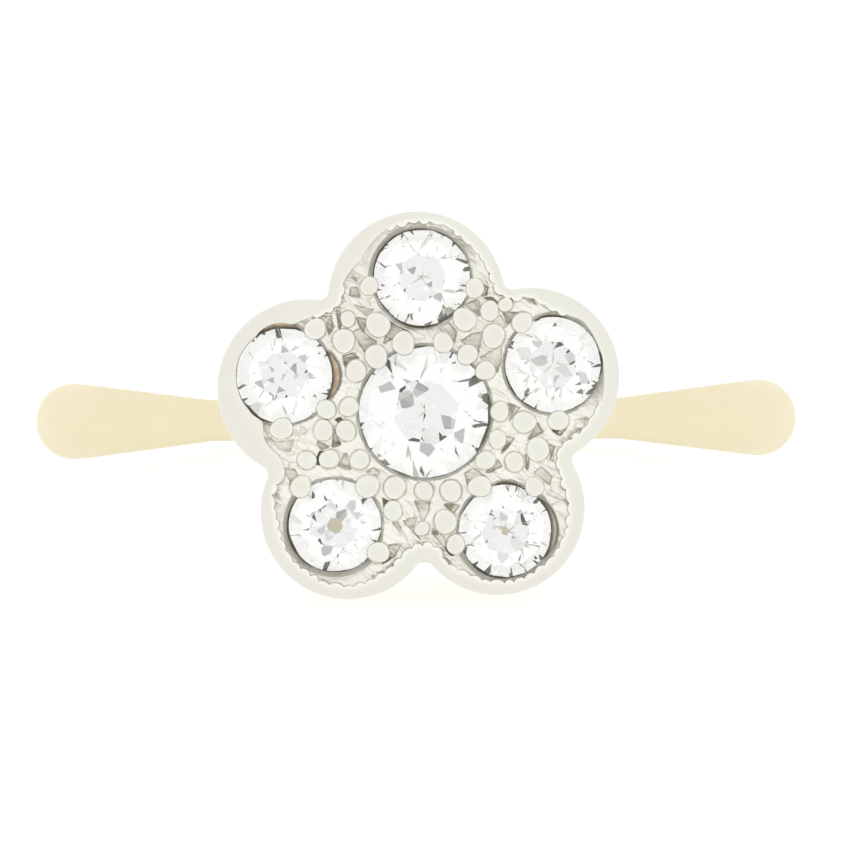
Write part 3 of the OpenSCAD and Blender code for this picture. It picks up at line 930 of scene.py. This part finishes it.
# Deep cuts of the graver: how deep, then the corners in pixels of that view, with the deepest first
PITS = (
    (0.8, (360, 295.9), (350.8, 294.5), (351.5, 286.8), (357.9, 286.8)),
    (0.5, (356, 279.8), (347, 271.1), (356, 276.7)),
    (0.9, (340.3, 326.1), (336.8, 309.3), (340.3, 310.7), (341, 323.3)),
    (1.0, (329.8, 331.7), (326.7, 324.7), (331.2, 314.9), (333.3, 326.1)),
    (0.9, (363.5, 331), (356.9, 317), (367, 319.1)),
    (0.5, (367, 314.9), (355, 304.4), (373.3, 309.3)),
    (0.8, (371.2, 348.6), (365.6, 351.4), (353.6, 331.7), (360, 328.2), (376.5, 342.2)),
    (0.8, (391.5, 322.6), (384.5, 342.2), (396.4, 336.6), (407.9, 331)),
    (0.8, (351.5, 362.6), (358.6, 357.7), (354.3, 352.8), (343.1, 355.6), (346.2, 365.4)),
    (0.45, (327, 324.3), (319.3, 314.9), (330.5, 315.6)),
    (0.8, (487, 295.2), (482.1, 294.5), (485.2, 285.5), (489, 287.3)),
    (0.9, (491.2, 300), (487.9, 298.4), (494.2, 298.4), (497.6, 303.3)),
    (0.75, (480.3, 314.9), (466.4, 304.5), (478.5, 300), (481.9, 308.5)),
    (0.9, (508.8, 323), (504.2, 311.5), (518.5, 313.7)),
    (0.7, (454.8, 341.2), (439.1, 327.3), (449.4, 322.2), (456.9, 331.5)),
    (0.7, (478.5, 353), (462.5, 341.2), (472.4, 334.5), (483, 332.4)),
    (0.6, (497.3, 371.9), (481.5, 357.8), (502.7, 345.5), (501.3, 361.2)),
    (0.2, (503.9, 328.2), (493.6, 322.4), (501.5, 315.2), (507.6, 326.1)),
    (0.5, (264.8, 438.5), (260.6, 434.5), (269.1, 437.6), (274.5, 442.1)),
    (0.55, (288.5, 450.9), (278.8, 448.5), (274.5, 441), (293.3, 439.8)),
    (0.75, (318.2, 450.3), (311.5, 437.6), (317.6, 444.6), (327.9, 446.1)),
    (1.0, (337, 444.6), (332.8, 445.1), (333.9, 428.5), (339.4, 443.4)),
    (0.9, (318.2, 463), (316.1, 462.1), (319.4, 451.5), (323, 450.9)),
    (0.7, (344.2, 467.9), (337.2, 467.3), (345.7, 452.1), (350.5, 470.5)),
    (1.2, (337.6, 419.4), (340.4, 417.9), (342.1, 419.8), (339.2, 420.8)),
    (0.35, (374.5, 478.8), (366.1, 472.1), (373.3, 467.9), (379.4, 472.7)),
    (0.5, (290.9, 482.4), (283, 467.9), (294.5, 469.1), (297.2, 475.8)),
    (0.9, (384.2, 505.2), (383, 498.8), (389.9, 503)),
    (0.5, (413.3, 526.7), (406.3, 519.8), (416, 517.3)),
    (0.8, (383, 562.1), (388.5, 545.5), (400.6, 544.2), (393.9, 556.4)),
    (0.45, (398.8, 526.1), (392.1, 522.7), (396.4, 522.4), (409.7, 546.1)),
    (0.45, (409.7, 528.5), (403.6, 521.8), (407.9, 521.2), (421.8, 542.8)),
    (0.75, (509.6, 409.1), (509.4, 404.6), (520.1, 407.9), (510.4, 420.4)),
    (0.8, (530, 439), (537.9, 423.6), (543, 432.5)),
    (0.8, (554.2, 431.8), (550.8, 429.1), (565.4, 430.3), (557.9, 439)),
    (0.8, (507, 447.3), (507.6, 437.3), (514.5, 439), (503.3, 451.2)),
    (0.75, (551.8, 457), (549.2, 445.3), (554.5, 447.9)),
    (0.8, (526.4, 467.9), (525.8, 455.8), (529.5, 456.4), (527.6, 469.1)),
    (0.6, (488.8, 472.7), (496.7, 459.8), (506, 472.7), (485.4, 474.2)),
    (0.6, (549.4, 485.1), (534.6, 473.5), (541.5, 467.9), (551.6, 477.6)),
    (0.6, (468.2, 484.8), (462.1, 475.2), (473, 469.1), (485.2, 477.3), (470.6, 492.4)),
    (0.8, (450, 504.5), (443.9, 503.4), (461.9, 502.8), (452.7, 513.3)),
    (0.7, (422.1, 501.2), (414.6, 500.4), (429.6, 500.4), (428.2, 511.5), (422.1, 522.7)),
    (0.8, (436.1, 532.1), (433, 524.8), (439.3, 534.8), (432.1, 533.9)),
    (0.7, (448.8, 545.5), (433, 535.2), (445.2, 534.5), (457, 556.6), (450, 555.2)),
    (0.8, (539.7, 568.5), (529.2, 575.4), (534.8, 568.5), (544.2, 561.2)),
)

# Height from which a pit goes down, how far one of depth 1 does, the share lost at its far end, the slope of
# its walls, how much painted shade it has, and where that shade fades
PIT_Z = -0.2
PIT_DEPTH = 0.22
PIT_RISE = 0.6
PIT_WALL = 7
PIT_SHADE = 0.95
PIT_EDGE = (-0.012, 0.014)


def cut_pits(p, height):
    """Cuts the pits into a height field, and gives the painted shade at each point in them."""
    cavity = np.zeros(len(p))
    for deep, *corners in PITS:
        corners = (np.array(corners) - VIEW_MID) / (VIEW_SCALE, -VIEW_SCALE)
        middle = corners.mean(axis=0)
        spokes = corners - middle
        loop = corners[np.argsort(np.arctan2(spokes[:, 1], spokes[:, 0]))]
        out = np.full(len(p), -np.inf)
        for a, b in zip(loop, np.roll(loop, -1, axis=0)):
            side = np.array([b[1] - a[1], a[0] - b[0]]) / np.linalg.norm(b - a)
            out = np.maximum(out, (p - a) @ side)
        lead = middle - corners[0]
        fade = 1 - PIT_RISE * np.clip((p - corners[0]) @ lead / (2 * lead @ lead), 0, 1)
        height = np.minimum(height, PIT_Z - PIT_DEPTH * deep * fade + PIT_WALL * np.maximum(out, 0))
        cavity = np.maximum(cavity, PIT_SHADE * deep * fade * (1 - smooth_step(out, *PIT_EDGE)))
    return height, cavity


# Nets of flat facets in the carved field: pitch of each in millimetres, and the seed of its heights
COARSE_NET = (0.25, 3)
FINE_NET = (0.1, 4)
SCRATCH_NET = (0.19, 12)
GRIT_NET = (0.07, 6)
BEVEL_NET = (0.13, 9)
# Heights from the rim's top: the field's mean and highest, then where skirts, bevel, rings and lips start
FIELD_Z = -0.17
FIELD_TOP_Z = -0.045
SKIRT_Z = -0.1
BEVEL_Z = -0.05
RING_Z = -0.34
LIP_Z = -0.37
# Relief of each net on the field and on the bevel
COARSE_RISE = 0.07
FINE_RISE = 0.035
SCRATCH_DEPTH = 0.03
GRIT_RISE = 0.02
BEVEL_RISE = 0.03
BEVEL_GRIT_RISE = 0.012
# Half-width of a scratch, as a share of its net's height
SCRATCH_W = 0.09
# Depth and width of the groove round each grain
GROOVE_DEPTH = 0.05
GROOVE_W = 0.02
# Drop of the bevel from the rim to the stone, and the width of field over which it gives way to carving
BEVEL_DROP = 0.24
BEVEL_W = (0.42, 0.56)
# Slopes of the smooth rings and the lips, where a ring ends outward, and the degrees over which it fades
RING_SLOPE = 1.3
LIP_SLOPE = 3.0
RING_W = (0.16, 0.19)
RING_FADE = 8
# Painted shade of the scratches, the bevel, its grit and the rings
SCRATCH_SHADE = 0.5
BEVEL_SHADE = 0.16
BEVEL_GRIT_SHADE = 0.12
RING_SHADE = 0.22

# Slope of the metal round each grain
SKIRTS = np.random.default_rng(SKIRT_SEED).uniform(0.25, 0.9, len(GRAINS))


def bent(p):
    """Bends the plane of the nets, so that their facets stand in no straight rows."""
    x, y = p.T
    bent_x = x + 0.05 * np.sin(2.1 * y + 3 * np.sin(1.7 * x)) + 0.02 * np.sin(9 * y)
    bent_y = y + 0.05 * np.sin(2.3 * x + 2 * np.sin(1.9 * y)) + 0.02 * np.sin(8 * x)
    return bent_x, bent_y


def raise_skirts(p, height):
    """Raises the metal round each grain, and cuts a fine groove at the grain's foot."""
    for (at, r), slope in zip(GRAINS, SKIRTS):
        away = np.maximum(np.linalg.norm(p - at, axis=1) - r, 0)
        height = np.maximum(height, SKIRT_Z - slope * away)
        height = height - GROOVE_DEPTH * np.exp(-((away / GROOVE_W) ** 2))
    return height


def cut_rings(p, reaches, height, cavity):
    """Cuts the smooth rings beside the stones, with painted shade in them."""
    for k, clock, half in SMOOTH_RINGS:
        off = np.abs(turn_from(clock, clock_of(p - STONE_AT[k])))
        share = (1 - smooth_step(reaches[k], *RING_W)) * (1 - smooth_step(off, half - RING_FADE, half))
        height = height + (RING_SLOPE * reaches[k] + RING_Z - height) * share
        cavity = cavity + (RING_SHADE - cavity) * share
    return height, cavity


def carve(p):
    """Height of the carved field over the rim, its painted shade, and how far inward of the rim's band."""
    inset, width = edge_at(p)
    net = bent(p)
    height = FIELD_Z + COARSE_RISE * lattice_noise(*net, *COARSE_NET)
    height = height + FINE_RISE * lattice_noise(*net, *FINE_NET)
    scratch = np.exp(-((lattice_noise(*net, *SCRATCH_NET) / SCRATCH_W) ** 2))
    height = raise_skirts(p, height - SCRATCH_DEPTH * scratch)
    height, cavity = cut_pits(p, height)
    grit = lattice_noise(*net, *GRIT_NET)
    cavity = cavity * (0.85 + 0.5 * grit)
    height = height + GRIT_RISE * grit * (cavity > 0)
    reaches = np.array([np.linalg.norm(p - at, axis=1) - r for at, r in STONES])
    # Where the field is narrow between the rim and a petal stone, it is a bevel
    band = np.maximum(inset - width, 0)
    corridor = np.maximum(band + reaches[1:].min(axis=0), 0.05)
    narrow = 1 - smooth_step(corridor, *BEVEL_W)
    bevel = BEVEL_Z - BEVEL_DROP * np.clip(band / corridor, 0, 1)
    bevel = bevel + BEVEL_RISE * lattice_noise(*net, *BEVEL_NET) + BEVEL_GRIT_RISE * grit
    height = height + (bevel - height) * narrow
    cavity = np.maximum(cavity, SCRATCH_SHADE * scratch) * (1 - narrow)
    cavity = np.maximum(cavity, (BEVEL_SHADE + BEVEL_GRIT_SHADE * grit) * narrow)
    height, cavity = cut_rings(p, reaches, height, cavity)
    for k, at in enumerate(STONE_AT):
        gap, _ = seat_gap(k, clock_of(p - at))
        height = np.minimum(height, LIP_Z + LIP_SLOPE * np.maximum(reaches[k] - gap, 0))
    return np.minimum(height, FIELD_TOP_Z), cavity, inset - width


# Points round a seat, distances outward from its gap to its lip's points, and the lip's rise and outer drop
SEAT_POINTS = 240
LIP_STEPS = (0.003, 0.02, 0.045, 0.07)
LIP_RISE = 0.003
LIP_DROP = 0.05


def add_seats(shell):
    """The smooth lip round each stone, and the wall down to the seat under it."""
    turns = np.linspace(0, 360, SEAT_POINTS, endpoint=False)
    still = np.zeros(SEAT_POINTS)
    for k, (at, r) in enumerate(STONES):
        gap, gold = seat_gap(k, turns)
        slope, _ = seat_cone(r)
        edge_z = GIRDLE_Z - HALF_GIRDLE * r
        # Columns: distance outward from the stone's edge, height, painted shade, which also scales the gold
        # in shade
        below = (
            (still - 0.15, edge_z - slope * 0.21, 0.3),
            (still, edge_z - slope * 0.1, 0.3),
            (gap, edge_z - slope * 0.06, 0.7),
            (gap + 0.002, FACE_Z - 0.42, 0.2),
        )
        rows, golds, painted_shades = [], [], []
        for off, z, depth in below:
            rows.append(np.column_stack([at + polar(r + off, turns), still + z]))
            golds.append(gold * depth)
            painted_shades.append(still + depth)
        for off in LIP_STEPS:
            p = at + polar(r + gap + off, turns)
            height, cavity, _ = carve(p)
            rows.append(np.column_stack([p, FACE_Z + height + LIP_RISE]))
            golds.append(still)
            painted_shades.append(cavity)
        rows.append(rows[-1] + [0, 0, -LIP_DROP])
        golds.append(golds[-1])
        painted_shades.append(painted_shades[-1])
        shell.grid(np.array(rows), around=True, gold=np.array(golds), cavity=np.array(painted_shades))


# Pitch of the field's points, its distances from the outline and the gaps, and how far it runs under the rim
FIELD_PITCH = 0.0225
FIELD_INSET = 0.15
FIELD_CLEAR = 0.03
FIELD_UNDER = 0.02


def add_field(shell):
    x = np.arange(LOBE_AT[:, 0].min() - LOBE_R, LOBE_AT[:, 0].max() + LOBE_R, FIELD_PITCH)
    y = np.arange(LOBE_AT[:, 1].min() - LOBE_R, LOBE_AT[:, 1].max() + LOBE_R, FIELD_PITCH)
    x, y = np.meshgrid(x, y)
    keep = inset_of(x, y) > FIELD_INSET
    for k, (at, r) in enumerate(STONES):
        away = np.stack([x, y], axis=-1) - at
        gap, _ = seat_gap(k, clock_of(away))
        keep &= np.hypot(away[..., 0], away[..., 1]) > r + gap + FIELD_CLEAR
    height, cavity = np.zeros(x.shape), np.zeros(x.shape)
    high, dark, band = carve(np.stack([x[keep], y[keep]], axis=-1))
    height[keep], cavity[keep] = high, dark
    keep[keep] = band > -FIELD_UNDER
    index = np.full(x.shape, -1)
    index[keep] = np.arange(keep.sum())
    quads = np.stack([index[:-1, :-1], index[:-1, 1:], index[1:, 1:], index[1:, :-1]], axis=-1)
    quads = quads[(quads >= 0).all(axis=-1)]
    shell.add(np.column_stack([x[keep], y[keep], FACE_Z + height[keep]]), quads, cavity=cavity[keep])


# Points round a grain
GRAIN_SIDES = 28
# Its profile from the middle out and down: share of its radius, height from the top of the rim
GRAIN_PROFILE = (
    (0.15, 0.036), (0.5, 0.033), (0.78, 0.024), (0.9, 0.01), (0.955, -0.015), (0.985, -0.05), (1.0, -0.1),
    (1.0, -0.2), (0.98, -0.34), (0.98, -0.5),
)


def add_grain(shell, at, r, pick):
    """A worn grain with a flat face, raised onto the crown of a stone that it holds."""
    a = np.arange(GRAIN_SIDES) * 360 / GRAIN_SIDES
    uneven = 0.06 * np.sin(np.radians(a * 2) + pick.uniform(0, 6.3))
    lobe = 1.02 + uneven + 0.03 * np.sin(np.radians(a * 3) + pick.uniform(0, 6.3))
    lean = polar(pick.uniform(0.0, 0.06), pick.uniform(0, 360))
    rows, shade, highlights = [], [], []
    for share, z in GRAIN_PROFILE:
        ring = polar(share * r * lobe, a)
        rows.append(np.column_stack([at + ring, FACE_Z + z + (ring @ lean) * (z > -0.15)]))
        # Painted shade on the grain's lower sides, and a painted highlight round the edge of its face
        shade.append(np.full(GRAIN_SIDES, 0.3 * (z < -0.12)))
        highlights.append(np.full(GRAIN_SIDES, 0.6 * (-0.06 < z < 0.012)))
    rows = lift_clear(np.array(rows)[::-1])
    shell.grid(rows, around=True, cavity=np.array(shade)[::-1], polish=np.array(highlights)[::-1])
    shell.add(rows[-1], [list(range(GRAIN_SIDES))])


rim_shell = Shell()
add_rim(rim_shell)
add_seats(rim_shell)
rim_values = ["cavity", "gold", "polish"]
make_piece("head_rim", rim_shell, WHITE, replaces=["head"], values=rim_values, sharp=45)

field_shell = Shell()
add_field(field_shell)
make_piece("head_field", field_shell, BRIGHT_LIT, values=["cavity"])

grain_shell = Shell()
pick = np.random.default_rng(GRAIN_SEED)
for at, r in GRAINS:
    add_grain(grain_shell, at, r, pick)
make_piece("head_grains", grain_shell, WHITE, values=["cavity", "polish"], sharp=50)


# Floor, light and camera

FLOOR_SIZE = 2.0
FLOOR_LOOKS = {
    "Base Color": (0.3, 0.3, 0.3, 1),
    "Roughness": 0.9,
    "Specular IOR Level": 0.0,
    "Emission Color": (1, 1, 0.99, 1),
    "Emission Strength": 0.8,
}
TENT_STRENGTH = 1.12
# Greys of the tent: place, grey. From 0 to 1 the cosine from the flower's way to face goes from 0.5 to 1
TENT_GREYS = ((0.0, 1.0), (0.976, 1.0), (0.988, 0.42), (1.0, 0.38))
# Lens and sensor in millimetres, and the camera's distance from its aim in metres
LENS = 745
SENSOR_W = 36
CAMERA_REACH = 0.458
# Aim in metres right of the middle of the finger and below it, and the camera's roll
AIM_RIGHT = 0.000118
AIM_DOWN = 0.000029
ROLL = math.radians(-0.35)


def add_floor():
    bm = bmesh.new()
    bmesh.ops.create_grid(bm, x_segments=1, y_segments=1, size=FLOOR_SIZE)
    mesh = bpy.data.meshes.new("floor")
    bm.to_mesh(mesh)
    bm.free()
    floor = bpy.data.objects.new("floor", mesh)
    floor.location = (0, 0, cad_box[0][2])
    bpy.context.scene.collection.objects.link(floor)
    mesh.materials.append(new_material("pale_floor", FLOOR_LOOKS)[0])


def add_light():
    """A white tent all round, with a grey patch on the camera's side for the stones and metals to show."""
    world = bpy.data.worlds.new("white_tent")
    bpy.context.scene.world = world
    world.use_nodes = True
    tree = world.node_tree
    tree.nodes.clear()
    out = tree.nodes.new("ShaderNodeOutputWorld")
    back = add_node(tree, "ShaderNodeBackground", Strength=TENT_STRENGTH)
    tree.links.new(back.outputs["Background"], out.inputs["Surface"])
    place = tree.nodes.new("ShaderNodeTexCoord")
    dot = add_node(tree, "ShaderNodeVectorMath", operation="DOT_PRODUCT")
    tree.links.new(place.outputs["Generated"], dot.inputs[0])
    dot.inputs[1].default_value = FACE_WAY
    ramp = tree.nodes.new("ShaderNodeValToRGB")
    tree.links.new(remap(tree, dot.outputs["Value"], 0.5, 1.0, 0.0, 1.0), ramp.inputs["Fac"])
    stops = ramp.color_ramp.elements
    stops[0].position = TENT_GREYS[0][0]
    stops[1].position = TENT_GREYS[-1][0]
    for position, _ in TENT_GREYS[1:-1]:
        stops.new(position)
    for stop, (_, grey) in zip(stops, TENT_GREYS):
        stop.color = (grey, grey, grey, 1)
    tree.links.new(ramp.outputs["Color"], back.inputs["Color"])


def add_camera():
    """Looks straight at the face of the flower, with the photograph's small roll."""
    lens = bpy.data.cameras.new("camera")
    lens.sensor_width = SENSOR_W
    lens.lens = LENS
    lens.clip_start = 0.01
    lens.clip_end = 10
    camera = bpy.data.objects.new("camera", lens)
    bpy.context.scene.collection.objects.link(camera)
    bpy.context.scene.camera = camera
    aim = Vector((AIM_RIGHT, 0, 0)) - HEAD_UP * AIM_DOWN
    camera.location = aim + FACE_WAY * CAMERA_REACH
    right = Vector((1, 0, 0))
    turned_up = HEAD_UP * math.cos(ROLL) + right * math.sin(-ROLL)
    turned_right = right * math.cos(ROLL) - HEAD_UP * math.sin(-ROLL)
    camera.rotation_mode = "QUATERNION"
    camera.rotation_quaternion = Matrix((turned_right, turned_up, FACE_WAY)).transposed().to_quaternion()


add_floor()
add_light()
add_camera()
bpy.context.scene.view_settings.view_transform = "Standard"
